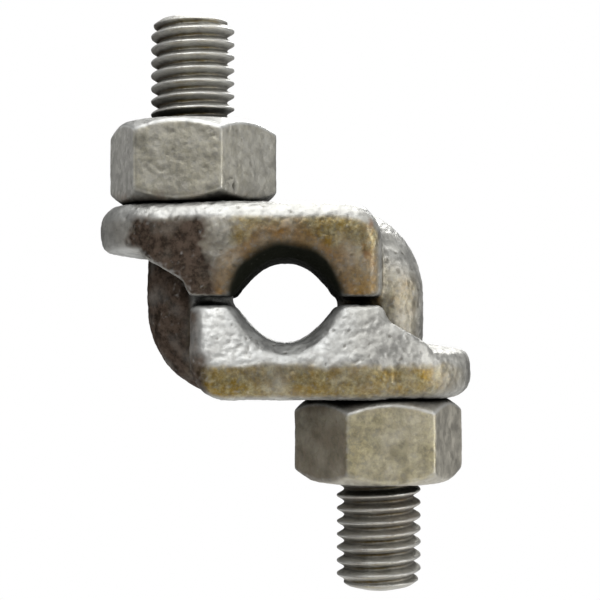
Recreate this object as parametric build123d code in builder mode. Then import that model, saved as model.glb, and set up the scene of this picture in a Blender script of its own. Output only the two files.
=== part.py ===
from build123d import *
import os
from math import cos, radians, tan

os.makedirs("parts", exist_ok=True)

# A fist-grip wire rope clip. Two forged saddles face each other across the
# rope. Each saddle has a stud forged onto one end and a lug with a plain hole
# at the other, so each stud passes through the other saddle's lug and takes a
# heavy hex nut there.
#
# Origin: the rope's centre. +Y runs along the rope. +Z runs along the studs.
# The two saddles are the same forging, half a turn apart about the rope.
# All sizes are in millimetres.

# Thread: 1/2 inch, 13 to the inch, right-handed
major_radius = 12.7 / 2
pitch = 25.4 / 13
thread_depth = 0.6134 * pitch
root_radius = major_radius - thread_depth
crest_flat = pitch / 8
flank_slope = tan(radians(30))
flank_gap = 0.12
thread_gap = 0.1
ridge_sink = 0.15

# Saddle: the jaw under the rope
stud_spacing = 28.0
stud_x = stud_spacing / 2
outer_face = 14.3
saddle_depth = 26.8
half_depth = saddle_depth / 2
draft_start = 9.2
draft_inset = 2.0
jaw_end = 13.9
jaw_corner_radius = 5.6
outer_edge_radius = 2.8
parting_gap = 1.2
land = -parting_gap / 2
land_edge_radius = 0.6

# Saddle: the rope channel, a seat about the rope with flanks that spread outward
seat_radius = 6.2
seat_half_angle = 40
channel_half_width = 8.0
channel_over_run = 2.0
mouth_depth = 3.2
mouth_taper = 32

# Saddle: the lug and the shoulder that leads to it
lug_start = 11.6
lug_x = 15.6
lug_radius = 12.2
lug_side_radius = 11.9
lug_inner_face = 6.3
lug_crown_radius = 6.0
lug_crown_drop = 1.1
lug_side_height = 3.0
lug_outer_round = 3.2
lug_inner_round = 1.7
shoulder_lean = 0.9
shoulder_drop = 2.4
shoulder_run = 6.6

# Saddle: the stud's plain shank, and the bend that joins it to the jaw
shank_radius = 6.7
shank_hole_radius = 7.05
bend_radius = 6.4
bend_x = -stud_x + bend_radius
bend_height = -outer_face + shank_radius + bend_radius
shank_end_radius = root_radius + ridge_sink
stud_end = 43.0
stud_end_taper = 1.9
stud_end_crown = 0.6
stud_tip_inset = 0.3
stud_tip_radius = root_radius - stud_tip_inset
stud_crown_radius = 2.6

# Nut: heavy hex, chamfered at both ends
nut_across_flats = 22.225
nut_height = 12.3
nut_face_radius = 10.3
nut_chamfer_angle = 35
nut_countersink = 0.6
nut_seat_gap = 0.1
nut_seat = outer_face + nut_seat_gap
nut_thread_inset = 0.4
upper_nut_turn = -8.0
lower_nut_turn = -6.0

# The stud's ridge starts inside the lug. The nut's ridge starts a pitch and a
# half further on, so the threads are in mesh with the nut on its seat.
stud_ridge_lead = 2.5 * pitch
ridge_mesh_offset = 1.5 * pitch
stud_ridge_start = nut_seat - stud_ridge_lead
nut_ridge_start = stud_ridge_start + ridge_mesh_offset

# How far cutting shapes run past what they cut, and how near a face counts as
# being on the parting
cut_margin = 1.0
parting_tolerance = 0.01


def stud_ridge_half_width(radius):
    """Half the stud ridge's thickness along the axis, at a radius."""
    return crest_flat / 2 + (major_radius - radius) * flank_slope


def nut_ridge_half_width(radius):
    """Half the nut ridge's thickness: the stud's groove, less the flank gaps."""
    return pitch / 2 - stud_ridge_half_width(radius) - flank_gap


def helical_ridge(start, end, base, tip, half_width):
    """Right-hand thread ridge about the Z axis, between two heights."""
    path = Helix(pitch, end - start, base, center=(0, 0, start))
    section = Plane(origin=path @ 0, x_dir=(1, 0, 0), z_dir=path % 0)
    with BuildPart() as ridge:
        with BuildSketch(section):
            with BuildLine():
                Polyline(
                    (0, -half_width(base)),
                    (tip - base, -half_width(tip)),
                    (tip - base, half_width(tip)),
                    (0, half_width(base)),
                    close=True,
                )
            make_face()
        sweep(path=path, is_frenet=True)
    return ridge.part


def threaded_stud():
    """Threaded end of a stud that points up, with a tapered, crowned tip."""
    ridge = helical_ridge(
        stud_ridge_start,
        stud_end + pitch,
        root_radius - ridge_sink,
        major_radius,
        stud_ridge_half_width,
    )
    # The core runs past the ridge's last turn, so that the two fuse cleanly
    core_length = stud_end + 3 * pitch
    with BuildPart() as stud:
        with BuildSketch(Plane.XY):
            Circle(root_radius)
        extrude(amount=core_length)
        add(ridge)
        # Turned envelope that trims the thread to the tip's shape
        with BuildSketch(Plane.XZ):
            with BuildLine():
                Polyline(
                    (0, 0),
                    (shank_radius, 0),
                    (shank_radius, stud_end - stud_end_taper),
                    (stud_tip_radius, stud_end - stud_end_crown),
                    (stud_crown_radius, stud_end),
                    (0, stud_end),
                    close=True,
                )
            make_face()
        revolve(axis=Axis.Z, mode=Mode.INTERSECT)
    return stud.part


def nut_thread(bore):
    """Ridge inside the nut, trimmed a little short of both its faces."""
    ridge = helical_ridge(
        nut_ridge_start,
        nut_seat + nut_height + pitch,
        bore + ridge_sink,
        root_radius + 2 * thread_gap,
        nut_ridge_half_width,
    )
    with BuildPart() as thread:
        add(ridge)
        with BuildSketch(Plane.XY.offset(nut_seat + nut_thread_inset)):
            Circle(bore + cut_margin)
        extrude(amount=nut_height - 2 * nut_thread_inset, mode=Mode.INTERSECT)
    return thread.part


def hex_nut(turn):
    """Nut about the Z axis, on its seat, turned about it by some degrees."""
    bore = major_radius + thread_gap
    thread = nut_thread(bore)
    corner_radius = nut_across_flats / 2 / cos(radians(30))
    chamfer_height = (corner_radius - nut_face_radius) * tan(radians(nut_chamfer_angle))
    nut_top = nut_seat + nut_height
    with BuildPart() as nut:
        with BuildSketch(Plane.XY.offset(nut_seat)):
            RegularPolygon(nut_across_flats / 2, 6, major_radius=False, rotation=turn)
            Circle(bore, mode=Mode.SUBTRACT)
        extrude(amount=nut_height)
        chamfer(nut.edges().filter_by(GeomType.CIRCLE), nut_countersink)
        # Turned envelope that chamfers the corners at both ends
        with BuildSketch(Plane.XZ):
            with BuildLine():
                Polyline(
                    (0, nut_seat),
                    (nut_face_radius, nut_seat),
                    (corner_radius, nut_seat + chamfer_height),
                    (corner_radius, nut_top - chamfer_height),
                    (nut_face_radius, nut_top),
                    (0, nut_top),
                    close=True,
                )
            make_face()
        revolve(axis=Axis.Z, mode=Mode.INTERSECT)
        add(thread)
    return nut.part


def jaw_block():
    """Jaw under the rope, with its outer edges rounded."""
    corner_start = -jaw_end + jaw_corner_radius
    corner_top = -outer_face + jaw_corner_radius
    foot_x = stud_x + shoulder_run
    # The parting's own edges lie above this, and are rounded later
    side_top = 2 * land
    with BuildPart() as jaw:
        # Front outline, drawn through the depth
        with BuildSketch(Plane.XZ):
            with BuildLine():
                Polyline(
                    (-jaw_end, corner_top),
                    (-jaw_end, land),
                    (jaw_end, land),
                    (jaw_end + shoulder_lean, land - shoulder_drop),
                    (foot_x, -lug_inner_face),
                    (foot_x, -outer_face),
                    (corner_start, -outer_face),
                )
                RadiusArc((corner_start, -outer_face), (-jaw_end, corner_top), jaw_corner_radius)
            make_face()
        extrude(amount=half_depth, both=True)
        # End outline: above the base the sides lean in toward the parting
        with BuildSketch(Plane.YZ):
            with BuildLine():
                Polyline(
                    (0, -outer_face),
                    (half_depth, -outer_face),
                    (half_depth, -draft_start),
                    (half_depth - draft_inset, land),
                    (0, land),
                )
                mirror(about=Plane.YZ)
            make_face()
        extrude(amount=stud_spacing, both=True, mode=Mode.INTERSECT)
        # Plan outline: the sides close in on the lug's round end
        with BuildSketch(Plane.XY):
            with Locations((lug_x, 0)):
                Circle(lug_side_radius)
            with Locations(((lug_start - jaw_end) / 2, 0)):
                Rectangle(lug_start + jaw_end, saddle_depth)
            make_hull()
        extrude(amount=-outer_face, mode=Mode.INTERSECT)
        side_edges = jaw.edges().filter_by(
            lambda edge: abs(edge.center().Y) > half_depth / 2 and edge.center().Z < side_top
        )
        stud_side = side_edges.filter_by_position(Axis.X, -stud_spacing, corner_start)
        underside = side_edges.group_by(Axis.Z)[0]
        fillet(stud_side + underside, outer_edge_radius)
    return jaw.part


def lug_boss():
    """Round lug for the other saddle's stud, about the Z axis, with a rounded rim."""
    with BuildPart() as boss:
        with BuildSketch(Plane.XZ):
            with BuildLine():
                Polyline(
                    (0, -lug_inner_face),
                    (lug_crown_radius, -lug_inner_face),
                    (lug_side_radius, -lug_inner_face - lug_crown_drop),
                    (lug_radius, -outer_face + lug_side_height),
                    (lug_radius, -outer_face),
                    (0, -outer_face),
                    close=True,
                )
            make_face()
        revolve(axis=Axis.Z)
        rims = boss.edges().filter_by(GeomType.CIRCLE).group_by(Axis.Z)
        fillet(rims[0], lug_outer_round)
        rims = boss.edges().filter_by(GeomType.CIRCLE).group_by(Axis.Z)
        fillet(rims[-2], lug_inner_round)
    return boss.part


def shank_and_bend():
    """Round bar that comes down from the stud and turns in under the jaw."""
    with BuildPart() as bar:
        with BuildSketch(Plane.XY.offset(bend_height)):
            with Locations((-stud_x, 0)):
                Circle(shank_radius)
        extrude(amount=stud_ridge_start - bend_height)
        chamfer(bar.edges().group_by(Axis.Z)[-1], shank_radius - shank_end_radius)
        # The bend turns only the part of the section outside its axis
        with BuildSketch(Plane.XY.offset(bend_height)):
            with Locations((-stud_x, 0)):
                Circle(shank_radius)
            with Locations((bend_x + shank_radius, 0)):
                Rectangle(2 * shank_radius, stud_spacing, mode=Mode.SUBTRACT)
        revolve(axis=Axis((bend_x, 0, bend_height), (0, -1, 0)), revolution_arc=90)
    return bar.part


def channel_outline():
    """Rope channel: an arc about the rope's centre, and a wider arc on each side."""
    straight_down = -90
    seat_start = straight_down - seat_half_angle
    left_top = (-channel_half_width, 0)
    right_top = (channel_half_width, 0)
    with BuildSketch(Plane.XZ) as outline:
        with BuildLine():
            seat = CenterArc((0, 0), seat_radius, seat_start, 2 * seat_half_angle)
            TangentArc(seat @ 1, right_top, tangent=seat % 1)
            TangentArc(seat @ 0, left_top, tangent=(seat % 0) * -1)
            Polyline(
                left_top,
                (-channel_half_width, channel_over_run),
                (channel_half_width, channel_over_run),
                right_top,
            )
        make_face()
    return outline.sketch_local


def saddle():
    """Half of the clip: jaw below the rope, stud up at -X, lug at +X."""
    jaw = jaw_block()
    lug = lug_boss()
    bar = shank_and_bend()
    stud = threaded_stud()
    outline = channel_outline()
    with BuildPart() as body:
        add(jaw)
        with Locations((lug_x, 0)):
            add(lug)
        add(bar)
        # Rope channel, then the flare at each of its mouths
        with BuildSketch(Plane.XZ):
            add(outline)
        extrude(amount=saddle_depth, both=True, mode=Mode.SUBTRACT)
        for side in (1, -1):
            with BuildSketch(Plane.XZ.offset(side * (half_depth - mouth_depth))):
                add(outline)
            mouth_length = side * (mouth_depth + cut_margin)
            extrude(amount=mouth_length, taper=-mouth_taper, mode=Mode.SUBTRACT)
        # Plain hole for the other saddle's shank
        with BuildSketch(Plane.XY):
            with Locations((stud_x, 0)):
                Circle(shank_hole_radius)
        extrude(amount=-outer_face - cut_margin, mode=Mode.SUBTRACT)
        # Rounded edges along the parting, apart from the hole's and the shank's
        lands = body.faces().filter_by(
            lambda face: abs(face.center().Z - land) < parting_tolerance
        )
        land_edges = lands.edges().filter_by(GeomType.CIRCLE, reverse=True)
        fillet(land_edges, land_edge_radius)
        with Locations((-stud_x, 0)):
            add(stud)
    return body.part


saddle_body = saddle()
upper_nut_body = hex_nut(upper_nut_turn)
lower_nut_body = hex_nut(lower_nut_turn)

with BuildPart() as lower_saddle:
    add(saddle_body)
lower_saddle.part.label = "lower_saddle"
export_step(lower_saddle.part, "parts/lower_saddle.step")

with BuildPart() as upper_saddle:
    add(saddle_body, rotation=(0, 180, 0))
upper_saddle.part.label = "upper_saddle"
export_step(upper_saddle.part, "parts/upper_saddle.step")

with BuildPart() as upper_nut:
    with Locations((-stud_x, 0)):
        add(upper_nut_body)
upper_nut.part.label = "upper_nut"
export_step(upper_nut.part, "parts/upper_nut.step")

with BuildPart() as lower_nut:
    with Locations(Location((stud_x, 0, 0), (0, 180, 0))):
        add(lower_nut_body)
lower_nut.part.label = "lower_nut"
export_step(lower_nut.part, "parts/lower_nut.step")
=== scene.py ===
import bmesh
import bpy
import numpy as np
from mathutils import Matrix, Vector, noise


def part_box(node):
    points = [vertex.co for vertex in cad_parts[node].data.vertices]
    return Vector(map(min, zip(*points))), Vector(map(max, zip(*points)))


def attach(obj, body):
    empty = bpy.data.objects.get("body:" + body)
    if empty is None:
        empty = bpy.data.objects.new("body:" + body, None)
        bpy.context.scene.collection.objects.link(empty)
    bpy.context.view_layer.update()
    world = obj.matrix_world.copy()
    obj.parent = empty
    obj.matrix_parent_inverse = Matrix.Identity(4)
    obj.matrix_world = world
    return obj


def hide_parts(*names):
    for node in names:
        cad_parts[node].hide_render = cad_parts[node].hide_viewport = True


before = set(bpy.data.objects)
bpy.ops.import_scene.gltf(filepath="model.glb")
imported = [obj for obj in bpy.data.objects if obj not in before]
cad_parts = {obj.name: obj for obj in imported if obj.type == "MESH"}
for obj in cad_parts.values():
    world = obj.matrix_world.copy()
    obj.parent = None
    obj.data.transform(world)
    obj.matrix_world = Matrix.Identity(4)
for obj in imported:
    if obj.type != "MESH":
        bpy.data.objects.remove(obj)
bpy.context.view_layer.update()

# Lengths are in metres. The frame's origin is the rope's centre: +Y runs along
# the rope, +Z along the studs. The lower saddle's stud points up, and the upper
# saddle's stud points down. The camera looks along +Y, so left is -X.
MM = 0.001

# Surface mesh: how finely a node is resurfaced, and how far creases are softened
VOXEL = 0.2 * MM
WELD_DISTANCE = 1e-7
FORGING_PASSES = 44
NUT_PASSES = 12
THREAD_PASSES = 2
PASS_STRENGTH = 0.5
CONVEXITY_PASSES = 10

# Studs: how far each is from the rope's centre, and how far along it the thread
# starts, inside the lug
STUD_X = 14.0 * MM
THREAD_START = 9.0 * MM
THREAD_FADE = 1.2 * MM

# Kinds of noise: the size of the lumps, and what is added to the piece's seed.
# Each seed moves the noise by the stride, so that no two fields are alike.
LUMPS = (6.5 * MM, 0)
DENTS = (2.3 * MM, 1)
GRAIN = (1.0 * MM, 2)
PITS = (1.1 * MM, 3)
GRIT = (0.6 * MM, 4)
BROAD = (7.0 * MM, 5)
BLOTCH = (2.6 * MM, 6)
CORROSION = (0.9 * MM, 7)
FLECK = (0.8 * MM, 8)
SEED_STRIDE = (3.17, 7.31, 1.73)

# Relief of the skin: about how high each kind of noise stands, where the pits'
# noise starts to sink and is fully sunk, the share of it all that a thread loses,
# and the share that a nut keeps
RELIEF = ((LUMPS, 0.15 * MM), (DENTS, 0.045 * MM), (GRAIN, 0.07 * MM), (GRIT, 0.05 * MM))
PIT_SPAN = (0.44, 0.64)
PIT_DEPTH = 0.08 * MM
THREAD_SMOOTHNESS = 0.8
NUT_TEXTURE = 0.5

# How far the noise moves the edge of a mark or of painted light sideways, and the share of it
# upward
BROAD_DRIFT = 1.8 * MM
BLOTCH_DRIFT = 1.3 * MM
FLECK_DRIFT = 0.7 * MM
UPWARD_SHARE = 0.5

# Which way a surface faces: where a part of its normal starts to count, and where
# it counts in full. The front and the back both face along the rope.
# These facings place the painted highlight, the painted shade and the painted warm reflection.
FACES_ALONG_ROPE = (0.35, 0.8)
FACES_LEFT = (0.2, 0.7)
FACES_UP = (0.04, 0.3)
FACES_WELL_UP = (0.1, 0.5)
FACES_STRAIGHT_UP = (0.6, 0.95)
FACES_DOWN = (0.1, -0.4)
UPWARD_WANDER = 0.04

# How far a vertex stands out at an edge, or is sunk in a crease
EDGE_SPAN = (0.018 * MM, 0.09 * MM)
CREASE_SPAN = (0.006 * MM, 0.045 * MM)

# A small corroded patch, low on the right of the upper nut's front
PIT_PLACE = np.array((-6.8, -10.7, 16.8)) * MM
PIT_REACH = (2.0 * MM, 0.6 * MM)
CORROSION_SPAN = (-0.05, 0.3)
CORROSION_DEPTH = 0.3 * MM

# How the zinc takes light
BARE_METAL = 0.85
STAINED_METAL = 0.1
SPECULAR_LEVEL = 0.08
# How far the painted shade in hollows reaches, and how many samples it takes
CAVITY_REACH = 5.0 * MM
CAVITY_SAMPLES = 8

# The colour sockets of Blender's mix node
MIX_A = 6
MIX_B = 7
MIX_RESULT = 2


def colour(red, green, blue):
    """An opaque colour, as a socket takes it."""
    return (red, green, blue, 1.0)


# Tones of zinc and of what grows on it
# SILVER is laid as painted highlight on upward faces, the lower jaw, the threads and convex
# edges
SILVER = colour(0.49, 0.497, 0.49)
AMBER = colour(0.145, 0.07, 0.014)
# The brown tones: partly staining, partly painted shade on left-facing sides
DARK_UMBER = colour(0.018, 0.012, 0.008)
PALE_UMBER = colour(0.075, 0.054, 0.041)
RUST = colour(0.15, 0.07, 0.025)
# Painted shade in creases
CREASE_SHADE = colour(0.07, 0.06, 0.042)
# Near black for dirt, and for painted shade in hollows, the rope channel and thread grooves
GRIME_AND_SHADE = colour(0.005, 0.0055, 0.003)
SADDLE_GREY = colour(0.40, 0.395, 0.37)
UPPER_NUT_GREY = colour(0.33, 0.325, 0.305)
LOWER_NUT_GREY = colour(0.42, 0.40, 0.35)
# Olive tones for the saddles and the nuts: partly tarnish, partly painted warm reflection
GOLD = colour(0.15, 0.094, 0.014)
KHAKI = colour(0.36, 0.32, 0.18)

# How much of a grey's red, green and blue is left where old zinc has yellowed, and where warm
# reflection is painted
YELLOWED = (0.62, 0.55, 0.33)

# Studio: the half width and the height of the floor, its paleness, the share of
# that left in the paper's tooth, and its roughness
FLOOR_HALF = 0.38
FLOOR_HEIGHT = -0.16
FLOOR_TONE = 0.86
TOOTH_SHARE = 0.99
PAPER_ROUGHNESS = 0.9

# Studio: each softbox's name, place, width, height and energy
SOFTBOXES = (
    ("top_box", (-0.02, -0.05, 0.30), 0.30, 0.34, 1.1),
    ("front_box", (-0.08, -0.32, 0.22), 0.24, 0.14, 0.55),
    ("right_box", (0.30, -0.16, 0.0), 0.16, 0.26, 0.5),
    ("back_box", (0.06, 0.26, 0.26), 0.26, 0.16, 1.2),
)
WARM_WHITE = colour(1.0, 0.99, 0.96)
WHITE = colour(1.0, 1.0, 1.0)

# Studio: a long lens, nearly level with the rope
CAMERA_PLACE = (0.0, -0.226, -0.0031)
CAMERA_AIM = (0.0, 0.0, 0.00027)
CAMERA_LENS = 90.0
CAMERA_SENSOR = 36.0
CAMERA_SHIFT = 0.0242
CAMERA_CLIP = 0.01


def smoothstep(low, high, value):
    """0 at low and short of it, 1 at high and past it, and a smooth change between."""
    share = np.clip((value - low) / (high - low), 0.0, 1.0)
    return share * share * (3.0 - 2.0 * share)


def coordinates(mesh):
    """Vertex positions as an array of rows."""
    flat = np.empty(len(mesh.vertices) * 3)
    mesh.vertices.foreach_get("co", flat)
    return flat.reshape(-1, 3)


def normals(mesh):
    """Vertex normals as an array of rows."""
    flat = np.empty(len(mesh.vertices) * 3, np.float32)
    mesh.vertex_normals.foreach_get("vector", flat)
    return flat.reshape(-1, 3).astype(float)


def store(mesh, points):
    """Puts an array of positions back into a mesh."""
    mesh.vertices.foreach_set("co", points.ravel())
    mesh.update()


def relaxed(mesh, passes, weight):
    """Vertex positions after each has moved toward its neighbours' mean."""
    flat = np.empty(len(mesh.edges) * 2, np.int32)
    mesh.edges.foreach_get("vertices", flat)
    pairs = flat.reshape(-1, 2)
    count = len(mesh.vertices)
    degree = np.bincount(flat, minlength=count).astype(float)
    points = coordinates(mesh)
    step = (PASS_STRENGTH * weight)[:, None]
    for _ in range(passes):
        total = np.empty_like(points)
        for axis in range(3):
            values = points[:, axis]
            total[:, axis] = np.bincount(pairs[:, 0], values[pairs[:, 1]], count)
            total[:, axis] += np.bincount(pairs[:, 1], values[pairs[:, 0]], count)
        points += step * (total / degree[:, None] - points)
    return points


def convexity(mesh):
    """How far each vertex stands out from its surroundings: edges +, creases -."""
    sunk = relaxed(mesh, CONVEXITY_PASSES, np.ones(len(mesh.vertices)))
    return ((coordinates(mesh) - sunk) * normals(mesh)).sum(axis=1)


def field(points, kind, seed):
    """Smooth noise of about -1 to 1 of one kind, at each point."""
    size, offset = kind
    shift = Vector([(seed + offset) * stride for stride in SEED_STRIDE])
    scaled = points / size
    return np.array([noise.noise(Vector(row) + shift) for row in scaled])


def resurfaced(node):
    """A new object with a CAD node's shape on an even, fine, closed mesh."""
    name = node + "_forging"
    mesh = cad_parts[node].data.copy()
    work = bmesh.new()
    work.from_mesh(mesh)
    bmesh.ops.remove_doubles(work, verts=work.verts, dist=WELD_DISTANCE)
    work.to_mesh(mesh)
    work.free()
    mesh.materials.clear()
    piece = bpy.data.objects.new(name, mesh)
    bpy.context.scene.collection.objects.link(piece)
    remesh = piece.modifiers.new("resurface", "REMESH")
    remesh.mode = "VOXEL"
    remesh.voxel_size = VOXEL
    remesh.use_smooth_shade = True
    depsgraph = bpy.context.evaluated_depsgraph_get()
    piece.data = bpy.data.meshes.new_from_object(piece.evaluated_get(depsgraph))
    piece.data.name = name
    piece.modifiers.clear()
    return piece


class Skin:
    """The surface of one piece: its relief, and masks of 0 to 1 for its stains and painted
    light.
    """

    def __init__(self, mesh, seed):
        self.mesh = mesh
        self.seed = seed
        # Places and normals are those of the smooth surface, before its relief
        self.points = coordinates(mesh)
        self.direction = normals(mesh)
        self.broad = self.noise(BROAD)
        self.blotch = self.noise(BLOTCH)
        self.ragged = BROAD_DRIFT * self.broad + BLOTCH_DRIFT * self.blotch
        self.ragged += FLECK_DRIFT * self.noise(FLECK)
        self.x = self.points[:, 0] + self.ragged
        self.z = self.points[:, 2] + UPWARD_SHARE * self.ragged
        self.broadside = smoothstep(*FACES_ALONG_ROPE, np.abs(self.direction[:, 1]))
        self.masks = self.weathering_and_painted_light()

    def noise(self, kind):
        """Noise of one kind over the smooth surface."""
        return field(self.points, kind, self.seed)

    def patchy(self, middle, broad=0.0, blotch=0.0):
        """A share that wanders about a middle value with the noise."""
        return middle + broad * self.broad + blotch * self.blotch

    def weathering_and_painted_light(self):
        """Olive front and back, partly tarnish and partly painted warm reflection; brown on the
        left, partly staining and partly painted shade; painted highlight where faces turn up.
        """
        upward_clearing = 0.85
        olive_lost = 0.9
        level_dulling = 0.6
        up = self.direction[:, 2]
        upward = smoothstep(*FACES_UP, up + UPWARD_WANDER * self.blotch)
        # Painted shade, partly staining: brown on faces turned left, away from the light, and
        # less on faces turned up.
        left = smoothstep(*FACES_LEFT, -self.direction[:, 0])
        away_from_top_light = 1.0 - upward_clearing * smoothstep(*FACES_WELL_UP, up)
        # Painted warm reflection, partly tarnish: olive on faces along the rope, less on those
        # turned up.
        olive = self.broadside * (1.0 - olive_lost * upward)
        # Painted highlight: silver on faces turned up to the top light, less on those facing
        # straight up.
        highlight_share = upward * (1.0 - level_dulling * smoothstep(*FACES_STRAIGHT_UP, up))
        return {
            "olive": olive * self.patchy(0.85, broad=0.4, blotch=0.2),
            "umber_and_shade": left * away_from_top_light * self.patchy(0.9, broad=0.35, blotch=0.25),
            "painted_highlight": highlight_share * self.patchy(0.8, blotch=0.3),
            "amber": np.zeros(len(self.points)),
            "grime_and_shade": np.zeros(len(self.points)),
            "rust": np.zeros(len(self.points)),
        }

    def texture(self, weight):
        """Lumps, dents, grain and pits of a galvanised forging, along the normals."""
        height = sum(self.noise(kind) * swell for kind, swell in RELIEF)
        height -= smoothstep(*PIT_SPAN, self.noise(PITS)) * PIT_DEPTH
        store(self.mesh, self.points + self.direction * (height * weight)[:, None])

    def fade(self, name, share):
        """Takes a share of a mask away."""
        self.masks[name] = self.masks[name] * (1.0 - share)

    def lift(self, name, values):
        """Raises a mask to some values where it is lower."""
        self.masks[name] = np.maximum(self.masks[name], values)

    def keep(self):
        """Writes every mask, and the finished surface's edges and creases, to the mesh."""
        # Convex edges get the painted edge highlight, and creases the painted shade.
        stands_out = convexity(self.mesh)
        self.masks["edge"] = smoothstep(*EDGE_SPAN, stands_out)
        self.masks["crease"] = smoothstep(*CREASE_SPAN, -stands_out)
        for name, values in self.masks.items():
            layer = self.mesh.attributes.new(name, "FLOAT", "POINT")
            layer.data.foreach_set("value", np.clip(values, 0.0, 1.0).astype(np.float32))


# Below, a pair of lengths is a span: a mark of staining or painted light starts at the first and
# is full at the second.


def lower_saddle_stains_and_light(skin, thread):
    """Painted silver highlight on the jaw and thread, duller lug, olive base, brown staining and
    painted shade on the shank and corner.
    """
    above_base = (-10.0 * MM, -8.6 * MM)
    toward_lug = (6.0 * MM, 13.0 * MM)
    lug_tip = (20.0 * MM, 24.0 * MM)
    past_jaw = (-13.2 * MM, -14.2 * MM)
    corner_left = (-9.5 * MM, -12.5 * MM)
    corner_low = (-6.5 * MM, -8.5 * MM)
    jaw_shine = 0.62
    lug_dulling = 0.85
    tip_fading = 0.45
    shade_dulling = 0.85
    thread_olive = 0.25
    body = 1.0 - thread
    silver = smoothstep(*above_base, skin.z) * body
    skin.fade("olive", silver)
    # Painted highlight: silver on the jaw above the base
    skin.lift("painted_highlight", jaw_shine * silver)
    skin.fade("painted_highlight", lug_dulling * smoothstep(*toward_lug, skin.x))
    skin.fade("olive", tip_fading * smoothstep(*lug_tip, skin.x))
    # Painted shade, partly staining: brown on the left shank and the jaw's low left corner
    shank = smoothstep(*past_jaw, skin.points[:, 0]) * body
    corner = smoothstep(*corner_left, skin.x) * smoothstep(*corner_low, skin.z)
    stained_and_shaded = np.maximum(shank, corner)
    skin.lift("umber_and_shade", stained_and_shaded * skin.patchy(0.95, blotch=0.3))
    skin.fade("painted_highlight", shade_dulling * stained_and_shaded)
    skin.lift("olive", thread_olive * thread)
    # Painted highlight on the thread
    skin.lift("painted_highlight", thread)


def upper_saddle_stains_and_light(skin, thread):
    """Brown staining and painted shade on the lug, grey patch, amber arc round the mouth, grey
    shank, painted highlight on thread and lug tip, some rust.
    """
    below_rim = (12.2 * MM, 10.8 * MM)
    lug_right = (-9.8 * MM, -12.0 * MM)
    lug_left = (-25.0 * MM, -22.0 * MM)
    patch_right = (-6.2 * MM, -8.2 * MM)
    patch_bottom = (2.0 * MM, 4.0 * MM)
    arc_edge = (12.0 * MM, 9.4 * MM)
    side_left = (8.0 * MM, 10.0 * MM)
    side_top = (8.0 * MM, 5.0 * MM)
    past_jaw = (13.4 * MM, 14.4 * MM)
    lug_tip = (-21.0 * MM, -24.0 * MM)
    streak_x = 11.9 * MM
    streak_edge = (1.1 * MM, 0.3 * MM)
    streak_bottom = (4.0 * MM, 6.0 * MM)
    by_nut = (-38.0 * MM, -29.0 * MM)
    umber_fading = 0.65
    patch_fading = 0.7
    side_amber = 0.7
    shank_fading = 0.5
    dulling = 0.3
    shank_dulling = 0.4
    thread_shine = 0.85
    tip_shine = 0.65
    thread_olive = 0.3
    body = 1.0 - thread
    face = smoothstep(*below_rim, skin.z) * skin.broadside * body
    lug = smoothstep(*lug_right, skin.x) * smoothstep(*lug_left, skin.x)
    skin.fade("umber_and_shade", umber_fading)
    # Painted shade, partly staining: brown on the face of the left lug
    skin.lift("umber_and_shade", lug * face * skin.patchy(1.05, blotch=0.3))
    grey_patch = smoothstep(*patch_right, skin.x) * smoothstep(*patch_bottom, skin.z)
    skin.fade("olive", patch_fading * grey_patch)
    arc = smoothstep(*arc_edge, np.hypot(skin.points[:, 0], skin.points[:, 2]) + skin.ragged)
    right_side = smoothstep(*side_left, skin.x) * smoothstep(*side_top, skin.z)
    warm = np.maximum(arc, side_amber * right_side) * face
    skin.lift("amber", warm * skin.patchy(0.8, blotch=0.3))
    shank = smoothstep(*past_jaw, skin.points[:, 0]) * body
    skin.fade("olive", shank_fading * shank)
    skin.fade("amber", shank)
    skin.fade("painted_highlight", dulling + shank_dulling * shank)
    # Painted highlight on the thread and the lug's tip
    skin.lift("painted_highlight", thread_shine * thread)
    skin.lift("painted_highlight", tip_shine * smoothstep(*lug_tip, skin.x))
    from_streak = np.abs(skin.points[:, 0] - streak_x + skin.blotch * MM)
    streak = smoothstep(*streak_edge, from_streak) * smoothstep(*streak_bottom, skin.z)
    skin.lift("rust", streak * face)
    skin.lift("rust", smoothstep(*by_nut, skin.z) * thread * skin.patchy(0.3, broad=0.5))
    skin.lift("olive", thread_olive * thread)


def saddle_grime_and_shade(skin, stud_points, thread):
    """Black dirt and painted shade in the rope channel, darkest on its down-facing roof, and
    painted shade in the thread's grooves.
    """
    channel_edge = (9.6 * MM, 7.6 * MM)
    channel_wander = 0.4 * MM
    groove_edge = (5.9 * MM, 5.2 * MM)
    groove_shade = 0.08
    least = 0.15
    most = 1.0
    rope_distance = np.hypot(skin.points[:, 0], skin.points[:, 2])
    channel = smoothstep(*channel_edge, rope_distance + channel_wander * skin.blotch)
    down = smoothstep(*FACES_DOWN, skin.direction[:, 2])
    stud_distance = np.hypot(skin.points[:, 0] + stud_points * STUD_X, skin.points[:, 1])
    groove = smoothstep(*groove_edge, stud_distance) * thread
    # Dirt and painted shade: darker the more a channel face turns down
    skin.lift("grime_and_shade", channel * (least + (most - least) * down))
    skin.lift("grime_and_shade", groove_shade * groove)


def build_saddle(node, stud_points, seed, stains_and_light):
    """A forged saddle: softened, hammered body and a smoother threaded stud, with its stains and
    painted light laid on.
    """
    piece = resurfaced(node)
    mesh = piece.data
    along = stud_points * coordinates(mesh)[:, 2]
    thread = smoothstep(THREAD_START - THREAD_FADE, THREAD_START, along)
    store(mesh, relaxed(mesh, FORGING_PASSES, 1.0 - thread))
    store(mesh, relaxed(mesh, THREAD_PASSES, thread))
    skin = Skin(mesh, seed)
    skin.texture(1.0 - THREAD_SMOOTHNESS * thread)
    stains_and_light(skin, thread)
    saddle_grime_and_shade(skin, stud_points, thread)
    skin.keep()
    return piece


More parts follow.
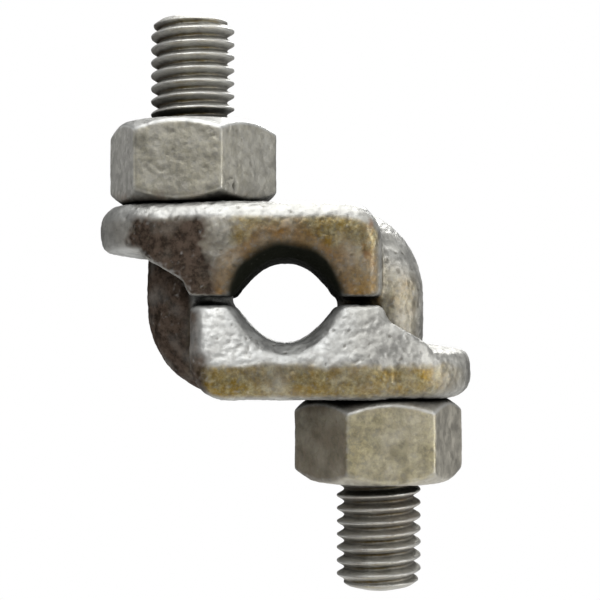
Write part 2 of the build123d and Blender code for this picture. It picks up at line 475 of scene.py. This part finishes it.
def corrode(skin, place):
    """Eats a small patch of pits into a surface and blackens them."""
    points = coordinates(skin.mesh)
    near = smoothstep(*PIT_REACH, np.linalg.norm(points - place, axis=1))
    eaten = near * smoothstep(*CORROSION_SPAN, field(points, CORROSION, skin.seed))
    store(skin.mesh, points - skin.direction * (eaten * CORROSION_DEPTH)[:, None])
    skin.lift("grime_and_shade", eaten)


def build_nut(node, seed, pit_place=None):
    """A hot-forged nut with dulled edges, small dents and perhaps a corroded patch."""
    past_bore = (6.8 * MM, 7.6 * MM)
    near_seat = (16.4 * MM, 14.6 * MM)
    seat_wander = 0.8 * MM
    smudge_span = (0.3, 0.75)
    smudge_spread = 0.4
    smudge_dirt = 0.3
    piece = resurfaced(node)
    mesh = piece.data
    points = coordinates(mesh)
    low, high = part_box(node)
    centre_x = (low.x + high.x) / 2
    outside = smoothstep(*past_bore, np.hypot(points[:, 0] - centre_x, points[:, 1]))
    store(mesh, relaxed(mesh, NUT_PASSES, outside))
    skin = Skin(mesh, seed)
    skin.texture(NUT_TEXTURE * outside)
    seat = smoothstep(*near_seat, np.abs(points[:, 2]) + seat_wander * skin.broad)
    skin.lift("rust", seat * skin.patchy(0.3, blotch=0.5))
    smudge = smoothstep(*smudge_span, skin.blotch - smudge_spread * skin.broad)
    skin.lift("grime_and_shade", smudge_dirt * smudge * skin.broadside)
    if pit_place is not None:
        corrode(skin, pit_place)
    skin.keep()
    return piece


class Graph:
    """Short calls for building the nodes of a material or of the world."""

    def __init__(self, tree):
        self.tree = tree

    def new(self, kind, **settings):
        """A node with some of its settings made."""
        node = self.tree.nodes.new(kind)
        for name, value in settings.items():
            setattr(node, name, value)
        return node

    def feed(self, socket, value):
        """Links a socket to another, or sets its value."""
        if isinstance(value, bpy.types.NodeSocket):
            self.tree.links.new(value, socket)
        else:
            socket.default_value = value

    def place(self):
        return self.new("ShaderNodeTexCoord").outputs["Object"]

    def mask(self, name):
        return self.new("ShaderNodeAttribute", attribute_name=name).outputs["Fac"]

    def noise(self, size, detail, roughness=0.6):
        node = self.new("ShaderNodeTexNoise")
        self.feed(node.inputs["Vector"], self.place())
        self.feed(node.inputs["Scale"], 1.0 / size)
        self.feed(node.inputs["Detail"], detail)
        self.feed(node.inputs["Roughness"], roughness)
        return node.outputs["Fac"]

    def cells(self, size):
        """Flat cells, each with a grey of its own from 0 to 1."""
        node = self.new("ShaderNodeTexVoronoi")
        self.feed(node.inputs["Vector"], self.place())
        self.feed(node.inputs["Scale"], 1.0 / size)
        grey = self.new("ShaderNodeSeparateColor")
        self.feed(grey.inputs[0], node.outputs["Color"])
        return grey.outputs[0]

    def math(self, operation, a, b):
        node = self.new("ShaderNodeMath", operation=operation)
        self.feed(node.inputs[0], a)
        self.feed(node.inputs[1], b)
        return node.outputs[0]

    def times(self, a, b):
        return self.math("MULTIPLY", a, b)

    def remap(self, value, span, to=(0.0, 1.0), shape="SMOOTHSTEP"):
        """Carries one span of values over to another, and holds them at its ends."""
        node = self.new("ShaderNodeMapRange", interpolation_type=shape)
        self.feed(node.inputs["Value"], value)
        self.feed(node.inputs["From Min"], span[0])
        self.feed(node.inputs["From Max"], span[1])
        self.feed(node.inputs["To Min"], to[0])
        self.feed(node.inputs["To Max"], to[1])
        return node.outputs["Result"]

    def mix(self, share, a, b, blend="MIX"):
        node = self.new("ShaderNodeMix", data_type="RGBA", blend_type=blend)
        self.feed(node.inputs["Factor"], share)
        self.feed(node.inputs[MIX_A], a)
        self.feed(node.inputs[MIX_B], b)
        return node.outputs[MIX_RESULT]

    def cavity(self):
        """Near 1 in the open, and less in a hollow."""
        node = self.new("ShaderNodeAmbientOcclusion", samples=CAVITY_SAMPLES)
        self.feed(node.inputs["Distance"], CAVITY_REACH)
        return node.outputs["AO"]

    def bump(self, height, distance, strength):
        node = self.new("ShaderNodeBump")
        self.feed(node.inputs["Strength"], strength)
        self.feed(node.inputs["Distance"], distance)
        self.feed(node.inputs["Height"], height)
        return node.outputs["Normal"]


def new_material(name):
    """A material, a graph of its nodes, and its shader."""
    material = bpy.data.materials.new(name)
    material.use_nodes = True
    graph = Graph(material.node_tree)
    return material, graph, graph.tree.nodes["Principled BSDF"]


def dimmed(tone, shares):
    """A tone with each of its colours scaled toward black."""
    return colour(tone[0] * shares[0], tone[1] * shares[1], tone[2] * shares[2])


def tarnish_and_painted_light(graph, base, fine, dull, grey, olive, olive_share, umber_share):
    """Lays olive, amber and brown over a base colour: olive partly tarnish and partly painted
    warm reflection, amber tarnish, brown partly staining and partly painted shade.
    """
    amber_cover = 0.95
    yellowed = dimmed(grey, YELLOWED)
    olive_tone = graph.mix(graph.remap(dull, span=(0.34, 0.68)), olive, yellowed)
    olive_tone = graph.mix(graph.times(graph.mask("amber"), amber_cover), olive_tone, AMBER)
    shade = graph.remap(fine, span=(0.25, 0.65), to=(0.55, 1.3))
    olive_tone = graph.mix(1.0, olive_tone, shade, "MULTIPLY")
    covered = graph.math("MAXIMUM", graph.mask("olive"), graph.mask("amber"))
    speckle = graph.remap(fine, span=(0.2, 0.48), to=(0.6, 1.0))
    gone_olive = graph.times(graph.times(covered, olive_share), speckle)
    base = graph.mix(gone_olive, base, olive_tone)
    umber_tone = graph.mix(graph.remap(dull, span=(0.36, 0.62)), DARK_UMBER, PALE_UMBER)
    return graph.mix(graph.times(graph.mask("umber_and_shade"), umber_share), base, umber_tone)


def zinc(name, grey, patchy, olive, olive_share, umber_share):
    """Weathered hot-dip zinc: mottled grey, tarnish, painted highlight on upward faces and
    edges, painted shade in creases, hollows and on left sides.
    """
    rust_cover = 0.8
    edge_highlight = 0.55
    crease_shade = 0.5
    stained_roughness = 0.4
    fine_relief = 0.7
    material, graph, shader = new_material(name)
    mottle = graph.noise(size=2.4 * MM, detail=5.0)
    fine = graph.noise(size=0.7 * MM, detail=4.0, roughness=0.7)
    dull = graph.noise(size=1.5 * MM, detail=6.0, roughness=0.75)

    dark = dimmed(grey, (1.0 - patchy,) * 3)
    base = graph.mix(graph.remap(mottle, span=(0.35, 0.65)), dark, grey)
    flecks = graph.remap(graph.cells(size=0.9 * MM), span=(0.0, 1.0), to=(0.86, 1.1))
    base = graph.mix(1.0, base, flecks, "MULTIPLY")
    # Painted highlight: silver laid wherever the highlight mask is set
    highlight_share = graph.times(graph.mask("painted_highlight"), graph.remap(fine, span=(0.28, 0.5), to=(0.45, 1.0)))
    base = graph.mix(highlight_share, base, SILVER)
    base = tarnish_and_painted_light(graph, base, fine, dull, grey, olive, olive_share, umber_share)
    rusty = graph.times(graph.mask("rust"), graph.remap(mottle, span=(0.35, 0.6)))
    base = graph.mix(graph.times(rusty, rust_cover), base, RUST)
    # Painted highlight along convex edges
    base = graph.mix(graph.times(graph.mask("edge"), edge_highlight), base, SILVER)
    # Painted shade in creases
    base = graph.mix(graph.times(graph.mask("crease"), crease_shade), base, CREASE_SHADE)
    # Dirt and painted shade: near black where the dirt-and-shade mask is set
    dirt_and_shade = graph.times(graph.mask("grime_and_shade"), graph.remap(fine, span=(0.15, 0.4), to=(0.8, 1.0)))
    base = graph.mix(dirt_and_shade, base, GRIME_AND_SHADE)
    # Painted shade: near black in hollows and between parts, from ambient occlusion
    hollow = graph.remap(graph.cavity(), span=(0.15, 0.75))
    base = graph.mix(graph.math("SUBTRACT", 1.0, hollow), base, GRIME_AND_SHADE)
    graph.feed(shader.inputs["Base Color"], base)

    covered = graph.math("MAXIMUM", graph.mask("umber_and_shade"), graph.mask("grime_and_shade"))
    metal = graph.remap(covered, span=(0.2, 0.9), to=(BARE_METAL, STAINED_METAL))
    graph.feed(shader.inputs["Metallic"], metal)
    shader.inputs["Specular IOR Level"].default_value = SPECULAR_LEVEL
    polish = graph.remap(mottle, span=(0.3, 0.7), to=(0.36, 0.56))
    dulled = graph.times(covered, stained_roughness)
    graph.feed(shader.inputs["Roughness"], graph.math("ADD", polish, dulled))
    relief = graph.math("ADD", graph.times(fine, fine_relief), mottle)
    grain = graph.bump(relief, distance=0.12 * MM, strength=0.55)
    graph.feed(shader.inputs["Normal"], grain)
    return material


def paper(name, value):
    """Matt studio paper, with a slight tooth."""
    material, graph, shader = new_material(name)
    shader.inputs["Roughness"].default_value = PAPER_ROUGHNESS
    grain = graph.noise(size=4.0 * MM, detail=3.0)
    tooth = graph.remap(grain, span=(0.3, 0.7), to=(value * TOOTH_SHARE, value))
    graph.feed(shader.inputs["Base Color"], tooth)
    return material


def put(node, piece, body, material):
    """Shows a piece in place of its CAD node, on the node's body."""
    piece.data.materials.append(material)
    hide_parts(node)
    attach(piece, body)


def floor():
    """Plain pale floor, well below the clip, which the camera looks over."""
    quarters = ((-1, -1), (1, -1), (1, 1), (-1, 1))
    corners = [(x * FLOOR_HALF, y * FLOOR_HALF, FLOOR_HEIGHT) for x, y in quarters]
    mesh = bpy.data.meshes.new("floor")
    mesh.from_pydata(corners, [], [(0, 1, 2, 3)])
    sheet = bpy.data.objects.new("floor", mesh)
    bpy.context.scene.collection.objects.link(sheet)
    mesh.materials.append(paper("studio_floor", FLOOR_TONE))


def softbox(name, place, width, height, energy):
    """Area light at a place, turned to the clip."""
    light = bpy.data.lights.new(name, "AREA")
    light.shape = "RECTANGLE"
    light.size = width
    light.size_y = height
    light.energy = energy
    holder = bpy.data.objects.new(name, light)
    holder.location = place
    holder.rotation_euler = (-Vector(place)).to_track_quat("-Z", "Y").to_euler()
    bpy.context.scene.collection.objects.link(holder)


def surroundings():
    """White to the camera. As light, it is soft, dimmer to the left and behind."""
    world = bpy.data.worlds.new("studio")
    bpy.context.scene.world = world
    world.use_nodes = True
    graph = Graph(world.node_tree)
    nodes = graph.tree.nodes
    split = graph.new("ShaderNodeSeparateXYZ")
    graph.feed(split.inputs[0], graph.new("ShaderNodeTexCoord").outputs["Generated"])
    side = graph.remap(split.outputs["X"], span=(-0.6, 0.9), to=(0.26, 0.66), shape="LINEAR")
    behind = graph.remap(split.outputs["Y"], span=(0.3, 0.8), to=(1.0, 0.3), shape="LINEAR")
    lit = nodes["Background"]
    graph.feed(lit.inputs["Color"], WARM_WHITE)
    graph.feed(lit.inputs["Strength"], graph.times(side, behind))
    seen = graph.new("ShaderNodeBackground")
    graph.feed(seen.inputs["Color"], WHITE)
    choose = graph.new("ShaderNodeMixShader")
    graph.feed(choose.inputs[0], graph.new("ShaderNodeLightPath").outputs["Is Camera Ray"])
    graph.feed(choose.inputs[1], lit.outputs[0])
    graph.feed(choose.inputs[2], seen.outputs[0])
    graph.feed(nodes["World Output"].inputs["Surface"], choose.outputs[0])


def camera():
    """The view of the clip's front, moved a little to one side by the lens shift."""
    data = bpy.data.cameras.new("camera")
    data.sensor_width = CAMERA_SENSOR
    data.lens = CAMERA_LENS
    data.shift_x = CAMERA_SHIFT
    data.clip_start = CAMERA_CLIP
    holder = bpy.data.objects.new("camera", data)
    holder.location = CAMERA_PLACE
    aim = Vector(CAMERA_AIM) - holder.location
    holder.rotation_euler = aim.to_track_quat("-Z", "Y").to_euler()
    bpy.context.scene.collection.objects.link(holder)
    bpy.context.scene.camera = holder


camera()
floor()
surroundings()
for box in SOFTBOXES:
    softbox(*box)
bpy.context.scene.view_settings.view_transform = "Standard"

# The upper nut has no brown staining and painted shade on it, and the lower nut has some
saddle_zinc = zinc(
    "forged_zinc", SADDLE_GREY, patchy=0.4, olive=GOLD, olive_share=1.0, umber_share=1.0
)
upper_nut_zinc = zinc(
    "upper_nut_zinc", UPPER_NUT_GREY, patchy=0.18, olive=KHAKI, olive_share=0.3, umber_share=0.0
)
lower_nut_zinc = zinc(
    "lower_nut_zinc", LOWER_NUT_GREY, patchy=0.22, olive=KHAKI, olive_share=0.75, umber_share=0.7
)

# A saddle's stud points up (1) or down (-1)
lower_forging = build_saddle("lower_saddle", stud_points=1, seed=11, stains_and_light=lower_saddle_stains_and_light)
put("lower_saddle", lower_forging, "lower_saddle", saddle_zinc)
upper_forging = build_saddle("upper_saddle", stud_points=-1, seed=23, stains_and_light=upper_saddle_stains_and_light)
put("upper_saddle", upper_forging, "upper_saddle", saddle_zinc)
upper_nut = build_nut("upper_nut", seed=37, pit_place=PIT_PLACE)
put("upper_nut", upper_nut, "upper_nut", upper_nut_zinc)
lower_nut = build_nut("lower_nut", seed=53)
put("lower_nut", lower_nut, "lower_nut", lower_nut_zinc)
